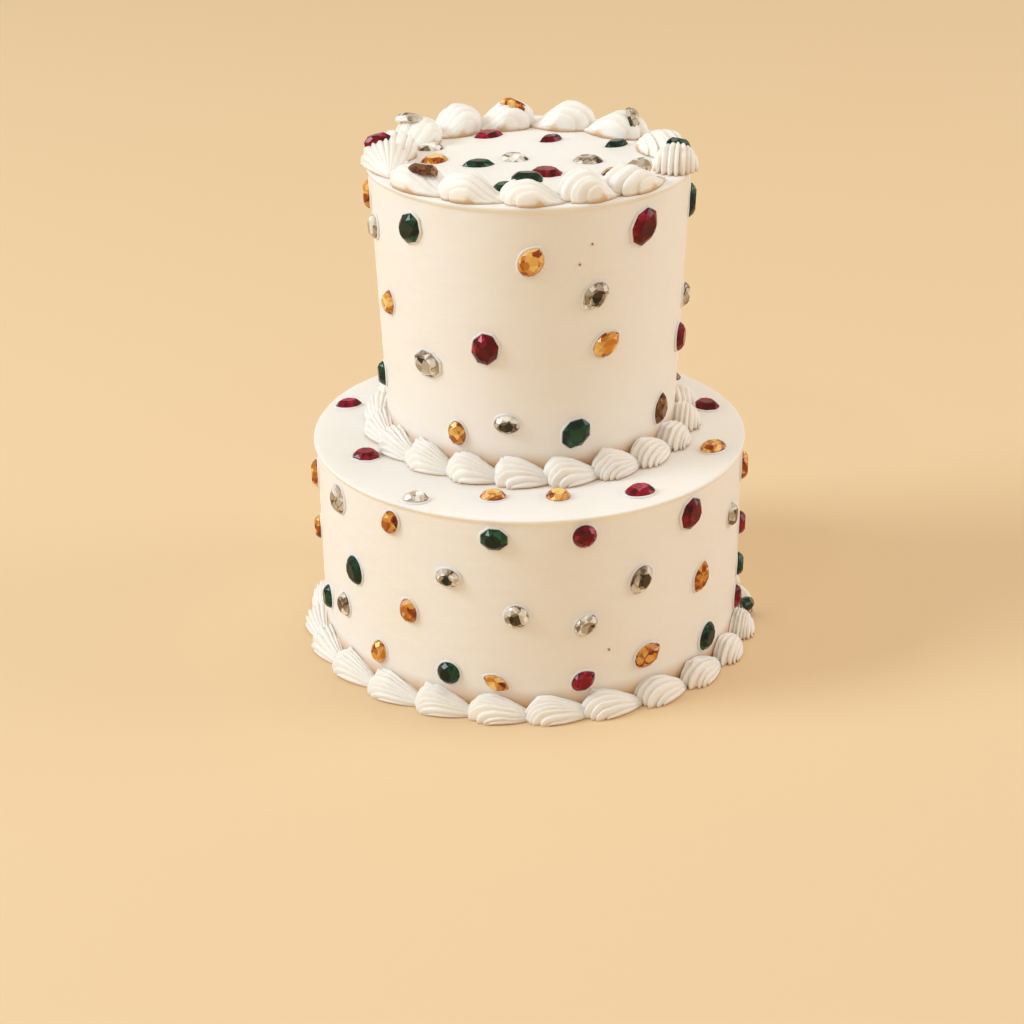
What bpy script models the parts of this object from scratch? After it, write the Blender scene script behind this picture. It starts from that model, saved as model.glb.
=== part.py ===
"""A two-tier birthday cake with piped shell borders and faceted sugar stones.

Metres, +Z up. The origin is the centre of the cake's underside and the front faces -Y.
An angle round the cake is 0 at the front and grows towards +X.
"""

import math
import random
from collections import namedtuple

import bmesh
import bpy
import numpy as np
from mathutils import Matrix, Vector

MM = 0.001
CAKE = "birthday_cake"

# Bottom tier, an eight inch sponge with its icing
BOTTOM_RIM = 102 * MM
BOTTOM_FOOT = 99 * MM
BOTTOM_HEIGHT = 100 * MM

# Top tier, which stands a little behind the middle of the bottom one and is lower at its back
TOP_RIM = 75 * MM
TOP_FOOT = 68 * MM
TOP_HEIGHT = 130 * MM
TOP_CENTRE = Vector((1 * MM, 10.5 * MM, 0))
TOP_SLOPE = -0.03

TOP_OF_CAKE = BOTTOM_HEIGHT + TOP_HEIGHT

# The icing stands out as a thin lip round each rim
LIP_DEPTH = 4 * MM
LIP_PROUD = 1.3 * MM
LIP_ROUND = 1.2 * MM
TIER_SIDES = 72
MERGE_DISTANCE = 0.01 * MM

# What touches keeps this much air
GAP = 0.3 * MM

# Icing faces that meet at more than this many degrees show an edge
SHARP_ANGLE = 40

# Star-tip shells round the foot of each tier: how many, where, and how big
Border = namedtuple("Border", "count first radius length width height")
BASE_SHELLS = Border(24, -7.2, 101.2 * MM, 33 * MM, 17.5 * MM, 11.8 * MM)
MIDDLE_SHELLS = Border(20, -20, 71.8 * MM, 29 * MM, 18 * MM, 11.8 * MM)
SHELL_RIDGES = 5
SHELL_RIDGE_DEPTH = 0.06
SHELL_FULLNESS = 0.8

# A shell from the side: share of its length from the tail, and share of its height there
SHELL_SIDE = ((0.2, 0.42), (0.45, 0.82), (0.74, 1.0), (0.93, 0.74), (1.0, 0.0))

# Larger swirled shells on the top face, spaced by hand along an oval: angle, then height and how far
# out of the oval each one stands, in millimetres
RIM_SHELLS = (
    (3, 10.5, 0),
    (26, 13.5, 0),
    (49, 11.5, 0),
    (84, 13.5, 4.5),
    (108, 11, 0),
    (142, 11.5, 0),
    (167, 13, 0),
    (193, 13, 0),
    (216, 13.5, 0),
    (239, 12, 0),
    (262, 12, 0),
    (278, 13.5, 3.5),
    (312, 10, 0),
    (338, 11.5, 0),
)
RIM_OVAL = (62.5 * MM, 60.5 * MM)
RIM_OVAL_BACK = -4 * MM
SWIRL_WIDTH = 21 * MM
SWIRL_RIDGES = 4
SWIRL_RIDGE_DEPTH = 0.09
SWIRL_STEPS = 9

# Shape of a swirl: height of its side eyes, how blunt it is, how its tail narrows and drops, and how
# far each shell reaches past the next one's middle
SWIRL_EYE = 0.36
SWIRL_FULLNESS = 0.75
SWIRL_NARROWING = 0.5
SWIRL_DROP = 0.3
SWIRL_OVERLAP = 1.28

# How much hand piping varies: degrees, then a share of each size
UNEVEN_ANGLE = 0.6
UNEVEN_SIZE = 0.035
SEED = 12

# Stones: width and length of each cut in millimetres, and the share of it that is the flat table
CUT_SIZES = {
    "oval": (10.5, 14),
    "pear": (11, 14.5),
    "octagon": (12, 14.5),
    "marquise": (8.5, 15),
    "round": (11, 11),
}
SCALES = {"big": 1.16, "large": 1.0, "small": 0.84}
TABLE_SHARE = 0.58
STONE_HEIGHT = 3.6 * MM
STONE_SIDES = 8
STONE_SUNK = 1.0 * MM
POINT_SHARPNESS = 1.7
OCTAGON_CORNER = 0.72

# Surface colour, roughness and metallic value
FINISHES = {
    "icing": ((0.93, 0.86, 0.74), 0.6, 0.0),
    "piped_icing": ((0.95, 0.89, 0.79), 0.55, 0.0),
    "emerald": ((0.02, 0.10, 0.05), 0.12, 0.3),
    "ruby": ((0.35, 0.01, 0.04), 0.12, 0.3),
    "amber": ((0.62, 0.26, 0.04), 0.12, 0.3),
    "clear": ((0.66, 0.60, 0.53), 0.1, 0.5),
    "smoky": ((0.28, 0.15, 0.08), 0.12, 0.3),
}

# Stones on a wall: angle, height above the tier's foot in millimetres, and the turn of the long axis
# from level. Stones on a level face: angle, distance from the tier's middle, and the same turn.
Stone = namedtuple("Stone", "cut scale colour angle reach turn")
TOP_WALL = [
    Stone("oval", "large", "amber", -86, 116, 90),
    Stone("oval", "small", "clear", -75, 105, 80),
    Stone("octagon", "large", "emerald", -47, 115, 60),
    Stone("pear", "large", "amber", 0, 107, 60),
    Stone("octagon", "big", "ruby", 43, 116, 60),
    Stone("oval", "big", "emerald", 85, 112, 90),
    Stone("pear", "large", "clear", 23, 88, 225),
    Stone("pear", "small", "amber", -64, 73, 80),
    Stone("oval", "small", "clear", 85, 66, 90),
    Stone("octagon", "large", "ruby", -17, 64, 80),
    Stone("pear", "large", "amber", 28, 64, 35),
    Stone("oval", "large", "ruby", 76, 49, 95),
    Stone("octagon", "large", "clear", -42, 51, 0),
    Stone("oval", "small", "emerald", -80, 30, 90),
    Stone("oval", "small", "clear", -9.5, 27.5, 0),
    Stone("octagon", "large", "emerald", 16.5, 22, 50),
    Stone("oval", "small", "amber", -29.5, 20, 95),
    Stone("marquise", "large", "smoky", 58.5, 21, 75),
]
BOTTOM_WALL = [
    Stone("oval", "large", "amber", -85, 82, 90),
    Stone("oval", "large", "clear", -61, 87, 95),
    Stone("oval", "small", "amber", -85, 54, 90),
    Stone("oval", "small", "amber", -39, 89, 70),
    Stone("octagon", "small", "emerald", -9.5, 90, 0),
    Stone("round", "large", "ruby", 13.5, 90.5, 0),
    Stone("octagon", "large", "ruby", 46, 88, 65),
    Stone("oval", "small", "clear", 68, 72, 80),
    Stone("oval", "large", "amber", 84, 85, 90),
    Stone("oval", "small", "ruby", 84, 55, 90),
    Stone("oval", "large", "emerald", -54, 55.5, 108),
    Stone("oval", "small", "emerald", -73, 27, 90),
    Stone("oval", "small", "clear", -60.5, 33, 100),
    Stone("oval", "small", "clear", -22, 68, 0),
    Stone("oval", "large", "clear", 29.5, 63.5, 60),
    Stone("marquise", "large", "amber", 51, 52.5, 65),
    Stone("oval", "small", "emerald", 84, 33, 90),
    Stone("oval", "small", "amber", -34, 46.5, 100),
    Stone("round", "large", "clear", -4, 51.5, 0),
    Stone("oval", "small", "clear", 14, 45.5, 40),
    Stone("oval", "small", "ruby", 80, 19, 90),
    Stone("oval", "small", "amber", -45, 19, 80),
    Stone("round", "large", "emerald", -22.5, 19, 60),
    Stone("marquise", "small", "amber", -9.5, 17, -25),
    Stone("pear", "small", "ruby", 13.5, 17, 35),
    Stone("pear", "large", "amber", 32, 23.5, 30),
    Stone("oval", "large", "emerald", 55, 18.5, 65),
]
LEDGE = [
    Stone("marquise", "small", "ruby", -109, 92, 15),
    Stone("octagon", "small", "ruby", -68, 82, 0),
    Stone("oval", "small", "clear", -33.5, 94, 0),
    Stone("oval", "small", "amber", -12.5, 79, 5),
    Stone("round", "large", "amber", 9, 78.5, 0),
    Stone("oval", "large", "ruby", 34, 88, 22),
    Stone("oval", "large", "amber", 73.5, 89, 45),
    Stone("octagon", "small", "ruby", 106, 89, -30),
    Stone("oval", "small", "smoky", 131, 92, 0),
    Stone("oval", "small", "clear", 228, 92, 40),
]
TOP_FACE = [
    Stone("oval", "large", "clear", -112, 50, 0),
    Stone("oval", "large", "amber", -88, 43.5, 41),
    Stone("marquise", "large", "ruby", -154, 43, 24),
    Stone("marquise", "large", "emerald", -69, 25, 10),
    Stone("oval", "large", "clear", -91, 7.5, 0),
    Stone("marquise", "small", "ruby", 161.5, 32.5, 34),
    Stone("oval", "large", "clear", 81, 27, -5),
    Stone("octagon", "large", "ruby", 17.5, 24, -10),
    Stone("octagon", "small", "emerald", -14, 47, 30),
    Stone("marquise", "small", "emerald", 118, 46, 30),
    Stone("oval", "small", "smoky", 57, 45, 20),
]

# Stones pressed into the piping: place in millimetres from the tier's middle and above the face it
# stands on, the way the stone leans from upright, and its turn
ShellStone = namedtuple("ShellStone", "cut scale colour east north rise lean towards turn")
RIM_STONES = [
    ShellStone("marquise", "small", "ruby", -69, -5, 11.3, 14, 255, 12),
    ShellStone("oval", "large", "clear", -55.5, 31.5, 10.6, 26, 165, -12),
    ShellStone("oval", "large", "smoky", -47.5, -43.5, 8.5, 14, 150, -20),
    ShellStone("oval", "large", "emerald", -1.5, -59, 9, 8, 170, 4),
    ShellStone("oval", "large", "clear", 48.2, 36.5, 9.2, 68, 85, 95),
    ShellStone("oval", "large", "amber", -7, 55.5, 10.2, 30, 128, 3),
    ShellStone("marquise", "small", "emerald", 67.5, -8.5, 9, 20, 150, 25),
    ShellStone("oval", "large", "clear", 47.6, -44, 8.8, 28, -30, 30),
]
BASE_STONES = [
    ShellStone("marquise", "small", "emerald", 105.4, 0, 5.6, 55, 88, 70),
]

# Colours of the far side, which repeats the near side's layout half a turn on
FAR_COLOURS = {"emerald": "ruby", "ruby": "amber", "amber": "emerald", "clear": "clear", "smoky": "amber"}
NEAR_SIDE = 70

# A stone whose long side reaches this length is a piece of its own, and a smaller one is part of the icing
OWN_PIECE_LENGTH = 13.9

# A stone this near a corner of the piping may touch it
SEAT_REACH = 9 * MM


def clear_scene():
    for item in list(bpy.data.objects):
        bpy.data.objects.remove(item)


def make_material(name):
    colour, roughness, metallic = FINISHES[name]
    material = bpy.data.materials.new(name)
    material.use_nodes = True
    shader = material.node_tree.nodes["Principled BSDF"]
    shader.inputs["Base Color"].default_value = (*colour, 1)
    shader.inputs["Roughness"].default_value = roughness
    shader.inputs["Metallic"].default_value = metallic
    return material


def make_collection(name, helper=False):
    collection = bpy.data.collections.new(name)
    collection.hide_render = helper
    bpy.context.scene.collection.children.link(collection)
    return collection


def make_object(name, mesh, collection, finish=None):
    item = bpy.data.objects.new(name, mesh)
    collection.objects.link(item)
    if finish:
        item.data.materials.clear()
        item.data.materials.append(finish)
    return item


def closed_mesh(name, points, faces):
    """A mesh from points and faces, with the faces turned outwards."""
    result = bpy.data.meshes.new(name)
    result.from_pydata(points, [], faces)
    mesh = bmesh.new()
    mesh.from_mesh(result)
    bmesh.ops.recalc_face_normals(mesh, faces=mesh.faces)
    mesh.to_mesh(result)
    mesh.free()
    return result


def apply_modifiers(item):
    """Puts the evaluated mesh in the object and takes its modifiers away."""
    bpy.context.view_layer.update()
    graph = bpy.context.evaluated_depsgraph_get()
    mesh = bpy.data.meshes.new_from_object(item.evaluated_get(graph))
    item.modifiers.clear()
    item.data = mesh


def combine(item, collection, operation):
    """One Boolean with everything in a collection, whose objects are then removed."""
    modifier = item.modifiers.new(operation.title(), "BOOLEAN")
    modifier.operation = operation
    modifier.operand_type = "COLLECTION"
    modifier.collection = collection
    modifier.solver = "MANIFOLD"
    apply_modifiers(item)
    for helper in list(collection.objects):
        bpy.data.objects.remove(helper)


def keep_largest_body(item):
    """Drops the loose scraps that a cut leaves."""
    mesh = bmesh.new()
    mesh.from_mesh(item.data)
    unseen = set(mesh.verts)
    bodies = []
    while unseen:
        body = {unseen.pop()}
        edge_of_body = list(body)
        while edge_of_body:
            vertex = edge_of_body.pop()
            fresh = {edge.other_vert(vertex) for edge in vertex.link_edges} & unseen
            unseen -= fresh
            body |= fresh
            edge_of_body.extend(fresh)
        bodies.append(body)
    bodies.sort(key=len)
    scraps = [vertex for body in bodies[:-1] for vertex in body]
    bmesh.ops.delete(mesh, geom=scraps, context="VERTS")
    mesh.to_mesh(item.data)
    mesh.free()


def direction(angle):
    """The level unit vector that points away from the axis at an angle round the cake."""
    turn = math.radians(angle)
    return Vector((math.sin(turn), -math.cos(turn), 0))


def tangent(angle):
    turn = math.radians(angle)
    return Vector((math.cos(turn), math.sin(turn), 0))


def top_tilt():
    """Turns what stands on the top face to the face's slope."""
    middle = Matrix.Translation(TOP_CENTRE + Vector((0, 0, TOP_OF_CAKE)))
    return middle @ Matrix.Rotation(math.atan(TOP_SLOPE), 4, "X") @ middle.inverted()


# Tiers


def tier_profile(rim, foot, height, grow=0.0):
    """The outline of half a tier from the middle of its top to the middle of its underside."""
    wall = rim - LIP_PROUD
    return [
        (0, height + grow),
        (rim - LIP_ROUND + grow, height + grow),
        (rim + grow, height - LIP_ROUND),
        (wall + grow, height - LIP_DEPTH),
        (foot + grow, -grow),
        (0, -grow),
    ]


def make_tier(name, rim, foot, height, centre, collection, slope=0.0, grow=0.0):
    """A turned tier, whose rim then falls or climbs towards +Y by the slope."""
    points = [(x, 0, z) for x, z in tier_profile(rim, foot, height, grow)]
    edges = [(i, i + 1) for i in range(len(points) - 1)]
    mesh = bpy.data.meshes.new(name)
    mesh.from_pydata(points, edges, [])
    tier = make_object(name, mesh, collection)
    screw = tier.modifiers.new("Turn", "SCREW")
    screw.steps = TIER_SIDES
    screw.render_steps = TIER_SIDES
    screw.use_merge_vertices = True
    screw.merge_threshold = MERGE_DISTANCE
    apply_modifiers(tier)
    for vertex in tier.data.vertices:
        if vertex.co.z > height / 2:
            vertex.co.z += slope * vertex.co.y
    tier.data.transform(Matrix.Translation(centre))
    return tier


# Piped shells


def shell_mesh(name, length, width, height):
    """A scallop: ridges fan out from the tail, run over the top and end round the head.

    Every ridge leaves the tail, spreads to its share of the width as the sine of its way along, and
    ends on the head's half circle. The height climbs to a crown and drops at the head, and across
    the shell it is an arc. Every second line is a ridge, and the ones between are the hollows.
    """
    half = width / 2
    rays = 2 * SHELL_RIDGES + 1
    points = [(length / 2, 0, 0)]
    for ray in range(rays):
        across = 2 * ray / (rays - 1) - 1
        arc = math.sqrt(1 - across**2)
        far = length - half * (1 - arc)
        ridge = SHELL_RIDGE_DEPTH * (1 if ray % 2 else -1)
        for reach, rise in SHELL_SIDE:
            spread = math.sin(reach * math.pi / 2) ** SHELL_FULLNESS
            swell = 1 + ridge * reach
            x = length / 2 - far * reach * (1 + ridge * reach / 2)
            points.append((x, across * half * spread * swell, height * rise * arc * swell))
    rows = len(SHELL_SIDE)

    def at(ray, row):
        return 1 + ray * rows + row

    faces = []
    for ray in range(rays - 1):
        faces.append((0, at(ray, 0), at(ray + 1, 0)))
        for row in range(rows - 1):
            faces.append((at(ray, row), at(ray, row + 1), at(ray + 1, row + 1), at(ray + 1, row)))
    near_edge = [at(0, row) for row in range(rows)]
    head = [at(ray, rows - 1) for ray in range(1, rays - 1)]
    far_edge = [at(rays - 1, row) for row in reversed(range(rows))]
    faces.append([0] + far_edge[::-1] + head[::-1] + near_edge[::-1])
    return closed_mesh(name, points, faces)


def swirl_mesh(name, length, width, height):
    """A swirled shell: arches about a level axis through its two side eyes, drawn out to a tail.

    An arch starts on the ground at the tail, goes over the top and ends on the ground under the
    head. From one eye to the other the arches grow from a point to the full size and shrink again,
    as sine and cosine of one sweep, and every second one is a ridge.
    """
    eye_height = SWIRL_EYE * height
    radius = height - eye_height
    tail_reach = length - radius
    whole_arch = math.pi + math.asin(eye_height / radius)
    stops = 2 * SWIRL_RIDGES + 1
    points = []
    for stop in range(1, stops + 1):
        sweep = math.pi * stop / (stops + 1)
        ridge = 1 + SWIRL_RIDGE_DEPTH * (1 if stop % 2 else -1)
        size = math.sin(sweep) ** SWIRL_FULLNESS * ridge
        for step in range(SWIRL_STEPS):
            turn = whole_arch * step / (SWIRL_STEPS - 1)
            tailward = max(0, math.cos(turn)) ** 2
            reach = (radius + (tail_reach - radius) * tailward) * size
            x = radius - length / 2 + reach * math.cos(turn)
            y = -math.cos(sweep) * width / 2 * (1 - SWIRL_NARROWING * tailward * size)
            z = eye_height * (1 - tailward) + reach * math.sin(turn) * (1 - SWIRL_DROP * tailward)
            grounded = step in (0, SWIRL_STEPS - 1)
            points.append((x, y, 0 if grounded else z))
    first_eye = len(points)
    points += [(radius - length / 2, side * width / 2, eye_height) for side in (-1, 1)]
    faces = []
    for stop in range(stops - 1):
        for step in range(SWIRL_STEPS):
            after = (step + 1) % SWIRL_STEPS
            a, b = stop * SWIRL_STEPS, (stop + 1) * SWIRL_STEPS
            faces.append((a + step, a + after, b + after, b + step))
    last = (stops - 1) * SWIRL_STEPS
    for step in range(SWIRL_STEPS):
        after = (step + 1) % SWIRL_STEPS
        faces.append((first_eye, after, step))
        faces.append((first_eye + 1, last + step, last + after))
    return closed_mesh(name, points, faces)


def bend_round(mesh, centre, radius, angle, lift):
    """Wraps a shell round a ring, with its tail towards growing angles and its middle at one angle."""
    for vertex in mesh.vertices:
        x, y, z = vertex.co
        way = direction(angle + math.degrees(x / radius))
        vertex.co = centre + way * (radius - y) + Vector((0, 0, lift + z))


def turn_along(mesh, place, heading, lift):
    """Turns a shell so that its tail points along heading, and stands it at a place."""
    turn = math.atan2(heading.y, heading.x)
    mesh.transform(Matrix.Translation((place.x, place.y, lift)) @ Matrix.Rotation(turn, 4, "Z"))


def fuse(name, meshes, collection, helpers):
    """Joins overlapping meshes into one object."""
    fused = make_object(name, meshes[0], collection)
    for number, mesh in enumerate(meshes[1:]):
        make_object(f"{name}_part_{number}", mesh, helpers)
    combine(fused, helpers, "UNION")
    keep_largest_body(fused)
    return fused


def make_border(name, border, centre, lift, collection, helpers, chance):
    """A ring of scallop shells, each with its head on the tail of the one before."""
    meshes = []
    for number in range(border.count):
        angle = border.first + 360 / border.count * number + chance.uniform(-1, 1) * UNEVEN_ANGLE
        length, width, height = (
            size * (1 + chance.uniform(-1, 1) * UNEVEN_SIZE)
            for size in (border.length, border.width, border.height)
        )
        mesh = shell_mesh(f"{name}_{number}", length, width, height)
        bend_round(mesh, centre, border.radius, angle, lift)
        meshes.append(mesh)
    return fuse(name, meshes, collection, helpers)


def rim_place(angle, out=0):
    """A point of the oval along which the rim shells stand, or some millimetres out of it."""
    across, along = RIM_OVAL
    way = direction(angle)
    return TOP_CENTRE + Vector((way.x * across, way.y * along + RIM_OVAL_BACK, 0)) + way * out * MM


def make_rim_border(collection, helpers, chance):
    meshes = []
    for number, (angle, height, out) in enumerate(RIM_SHELLS):
        after = RIM_SHELLS[(number + 1) % len(RIM_SHELLS)][0]
        before = RIM_SHELLS[number - 1][0]
        spacing = (rim_place(after) - rim_place(before)).length / 2
        heading = rim_place(angle + 1) - rim_place(angle - 1)
        width = SWIRL_WIDTH * (1 + chance.uniform(-1, 1) * UNEVEN_SIZE)
        mesh = swirl_mesh(f"rim_{number}", spacing * SWIRL_OVERLAP, width, height * MM)
        turn_along(mesh, rim_place(angle, out), heading, TOP_OF_CAKE + GAP)
        meshes.append(mesh)
    border = fuse("rim_border", meshes, collection, helpers)
    border.data.transform(top_tilt())
    return border


# Stones


def stone_size(stone):
    width, length = CUT_SIZES[stone.cut]
    return width * SCALES[stone.scale] * MM, length * SCALES[stone.scale] * MM


def outline_point(cut, turn):
    """Where a cut's outline lies at a turn, for a stone that reaches from -1 to 1 both ways."""
    along, across = math.cos(turn), math.sin(turn)
    pointed = math.copysign(abs(across) ** POINT_SHARPNESS, across)
    if cut == "marquise" or (cut == "pear" and along > 0):
        return along, pointed
    if cut == "octagon":
        bulge = 1 / max(abs(along), abs(across), OCTAGON_CORNER * (abs(along) + abs(across)))
        return along * bulge, across * bulge
    return along, across


def stone_mesh(stone, extra=0.0):
    """A flat-backed stone, its length along X and its table up: a cone primitive, reshaped to its cut."""
    width, length = stone_size(stone)
    mesh = bmesh.new()
    bmesh.ops.create_cone(
        mesh,
        cap_ends=True,
        segments=STONE_SIDES,
        radius1=1,
        radius2=TABLE_SHARE,
        depth=STONE_HEIGHT + 2 * extra,
    )
    half_step = math.pi / STONE_SIDES if stone.cut == "octagon" else 0
    for vertex in mesh.verts:
        radius = vertex.co.xy.length
        turn = math.atan2(vertex.co.y, vertex.co.x)
        turn = round(turn * STONE_SIDES / math.tau) * math.tau / STONE_SIDES + half_step
        along, across = outline_point(stone.cut, turn)
        vertex.co.x = along * radius * (length / 2 + extra)
        vertex.co.y = across * radius * (width / 2 + extra)
        vertex.co.z += STONE_HEIGHT / 2
    result = bpy.data.meshes.new("stone")
    mesh.to_mesh(result)
    mesh.free()
    return result


def frame_matrix(place, right, up, turn):
    """A stone's place: its length along right, turned towards up, and its table away from both."""
    out = right.cross(up).normalized()
    swing = math.radians(turn)
    along = (right * math.cos(swing) + up * math.sin(swing)).normalized()
    across = out.cross(along)
    rotation = Matrix((along, across, out)).transposed().to_4x4()
    return Matrix.Translation(place) @ rotation


def wall_frame(stone, rim, foot, height, centre, bottom):
    """The place of a stone on a tier's wall, which narrows towards its foot."""
    wall = rim - LIP_PROUD
    slope = (wall - foot) / (height - LIP_DEPTH)
    radius = foot + slope * stone.reach * MM
    way = direction(stone.angle)
    up = (way * slope + Vector((0, 0, 1))).normalized()
    place = centre + way * radius + Vector((0, 0, bottom + stone.reach * MM))
    return frame_matrix(place, tangent(stone.angle), up, stone.turn)


def level_frame(stone, centre, bottom):
    place = centre + direction(stone.angle) * stone.reach * MM + Vector((0, 0, bottom))
    return frame_matrix(place, Vector((1, 0, 0)), Vector((0, 1, 0)), stone.turn)


def shell_frame(stone, centre, bottom):
    """The place of a stone in the piping: upright, then leaned towards an angle round the cake."""
    place = centre + Vector((stone.east, stone.north, stone.rise)) * MM + Vector((0, 0, bottom))
    level = frame_matrix(Vector(), Vector((1, 0, 0)), Vector((0, 1, 0)), stone.turn)
    lean = Matrix.Rotation(math.radians(stone.lean), 4, tangent(stone.towards))
    return Matrix.Translation(place) @ lean @ level


def far_side(stones):
    """The stones near the front again, half a turn round and in other colours."""
    return [
        stone._replace(angle=stone.angle + 180, colour=FAR_COLOURS[stone.colour])
        for stone in stones
        if abs(stone.angle) < NEAR_SIDE
    ]


def all_stones():
    """Every stone with its place and the piece that carries it."""
    bottom = (BOTTOM_RIM, BOTTOM_FOOT, BOTTOM_HEIGHT, Vector(), 0)
    top = (TOP_RIM, TOP_FOOT, TOP_HEIGHT, TOP_CENTRE, BOTTOM_HEIGHT)
    tilt = top_tilt()
    found = []
    for stone in TOP_FACE:
        found.append((stone, tilt @ level_frame(stone, TOP_CENTRE, TOP_OF_CAKE), "top_tier"))
    for stone in RIM_STONES:
        found.append((stone, tilt @ shell_frame(stone, TOP_CENTRE, TOP_OF_CAKE), "rim_border"))
    for stone in TOP_WALL + far_side(TOP_WALL):
        found.append((stone, wall_frame(stone, *top), "top_tier"))
    for stone in LEDGE:
        found.append((stone, level_frame(stone, Vector(), BOTTOM_HEIGHT), "bottom_tier"))
    for stone in BOTTOM_WALL + far_side(BOTTOM_WALL):
        found.append((stone, wall_frame(stone, *bottom), "bottom_tier"))
    for stone in BASE_STONES:
        found.append((stone, shell_frame(stone, Vector(), 0), "base_border"))
    return found


def is_own_piece(stone, carrier):
    return carrier.endswith("border") or stone_size(stone)[1] > OWN_PIECE_LENGTH * MM


def placed_stone(stone, matrix, lift, extra=0.0):
    mesh = stone_mesh(stone, extra)
    mesh.transform(matrix @ Matrix.Translation((0, 0, lift)))
    return mesh


def make_stones(cake, carriers, helpers, finishes):
    """The large stones as pieces of their own, the small ones fused to the tier under them."""
    number = 0
    for stone, matrix, carrier in all_stones():
        if not is_own_piece(stone, carrier):
            continue
        number += 1
        name = f"stone_{number:02d}_{stone.colour}_{stone.cut}"
        make_object(name, placed_stone(stone, matrix, GAP), cake, finishes[stone.colour])
    for name, item in carriers.items():
        small = [entry for entry in all_stones() if entry[2] == name and not is_own_piece(*entry[::2])]
        for stone, matrix, _ in small:
            make_object("small_stone", placed_stone(stone, matrix, -STONE_SUNK), helpers)
        if small:
            combine(item, helpers, "UNION")


def cut_seats(border, helpers):
    """Room in a border for each stone that touches it or is pressed into it."""
    corners = np.array([vertex.co for vertex in border.data.vertices])
    for stone, matrix, carrier in all_stones():
        place = np.array(matrix.translation)
        if np.linalg.norm(corners - place, axis=1).min() > SEAT_REACH:
            continue
        lift = GAP if is_own_piece(stone, carrier) else -STONE_SUNK
        make_object("seat", placed_stone(stone, matrix, lift, GAP), helpers)
    if helpers.objects:
        combine(border, helpers, "DIFFERENCE")
        keep_largest_body(border)


def main():
    clear_scene()
    chance = random.Random(SEED)
    cake = make_collection(CAKE)
    helpers = make_collection("helpers", helper=True)
    finishes = {name: make_material(name) for name in FINISHES}

    bottom = (BOTTOM_RIM, BOTTOM_FOOT, BOTTOM_HEIGHT, Vector())
    top = (TOP_RIM, TOP_FOOT, TOP_HEIGHT - GAP, TOP_CENTRE + Vector((0, 0, BOTTOM_HEIGHT + GAP)))
    bottom_tier = make_tier("bottom_tier", *bottom, cake)
    top_tier = make_tier("top_tier", *top, cake, TOP_SLOPE)

    base_border = make_border("base_border", BASE_SHELLS, Vector(), 0, cake, helpers, chance)
    middle_lift = BOTTOM_HEIGHT + GAP
    middle_border = make_border(
        "middle_border", MIDDLE_SHELLS, TOP_CENTRE, middle_lift, cake, helpers, chance
    )
    rim_border = make_rim_border(cake, helpers, chance)

    make_tier("bottom_room", *bottom, helpers, grow=GAP)
    combine(base_border, helpers, "DIFFERENCE")
    make_tier("top_room", *top, helpers, grow=GAP)
    combine(middle_border, helpers, "DIFFERENCE")
    for border in (base_border, middle_border, rim_border):
        keep_largest_body(border)
        cut_seats(border, helpers)

    carriers = {"bottom_tier": bottom_tier, "top_tier": top_tier}
    make_stones(cake, carriers, helpers, finishes)

    pieces = {"icing": (bottom_tier, top_tier), "piped_icing": (base_border, middle_border, rim_border)}
    for finish, items in pieces.items():
        for item in items:
            item.data.materials.clear()
            item.data.materials.append(finishes[finish])
            item.data.shade_smooth()
            item.data.set_sharp_from_angle(angle=math.radians(SHARP_ANGLE))
    bpy.data.collections.remove(helpers)


main()
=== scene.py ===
"""Looks of a two-tier birthday cake with piped shells and faceted sugar stones.

Metres, +Z up, and the front faces -Y. An angle round the cake is 0 at the front and grows towards +X.
"""

import math
from collections import namedtuple

import bpy
import numpy as np
from mathutils import Matrix, Vector

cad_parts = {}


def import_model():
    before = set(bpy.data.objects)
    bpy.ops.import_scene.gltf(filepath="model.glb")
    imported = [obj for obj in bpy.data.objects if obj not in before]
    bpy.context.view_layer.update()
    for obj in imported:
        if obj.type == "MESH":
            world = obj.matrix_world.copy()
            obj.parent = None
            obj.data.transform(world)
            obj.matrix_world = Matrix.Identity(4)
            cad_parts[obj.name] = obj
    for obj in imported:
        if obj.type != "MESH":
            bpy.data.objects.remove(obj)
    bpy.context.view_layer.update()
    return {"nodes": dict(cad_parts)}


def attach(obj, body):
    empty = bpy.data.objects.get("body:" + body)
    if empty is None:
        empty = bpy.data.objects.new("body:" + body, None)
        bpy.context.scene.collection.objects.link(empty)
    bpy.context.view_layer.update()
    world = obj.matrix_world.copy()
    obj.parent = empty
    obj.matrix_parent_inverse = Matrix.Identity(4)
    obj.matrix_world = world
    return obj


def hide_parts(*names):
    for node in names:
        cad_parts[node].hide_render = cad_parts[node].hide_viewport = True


MM = 0.001
BODY = "root"

# Camera: what it looks at, how far away and how high it stands, and its own small roll
AIM = Vector((-0.00857, 0, 0.05645))
CAMERA_DISTANCE = 1.3464
CAMERA_ELEVATION = 25.23
CAMERA_ROLL = -0.55
FOCAL_PIXELS = 2800
PICTURE_PIXELS = 1024
SENSOR_WIDTH = 36

# Bottom tier, an eight inch sponge with its icing
BOTTOM_RIM = 102 * MM
BOTTOM_FOOT = 99 * MM
BOTTOM_HEIGHT = 100 * MM

# Top tier, which stands a little behind the middle of the bottom one and is lower at its back
TOP_RIM = 75 * MM
TOP_FOOT = 68 * MM
TOP_HEIGHT = 130 * MM
TOP_CENTRE = Vector((1 * MM, 10.5 * MM, 0))
TOP_SLOPE = -0.03
TOP_OF_CAKE = BOTTOM_HEIGHT + TOP_HEIGHT
GAP = 0.3 * MM

# The icing stands out as a thin lip round each rim
LIP_DEPTH = 3.4 * MM
LIP_PROUD = 1.3 * MM
LIP_ROUND = 0.9 * MM
TIER_COLUMNS = 320

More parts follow.
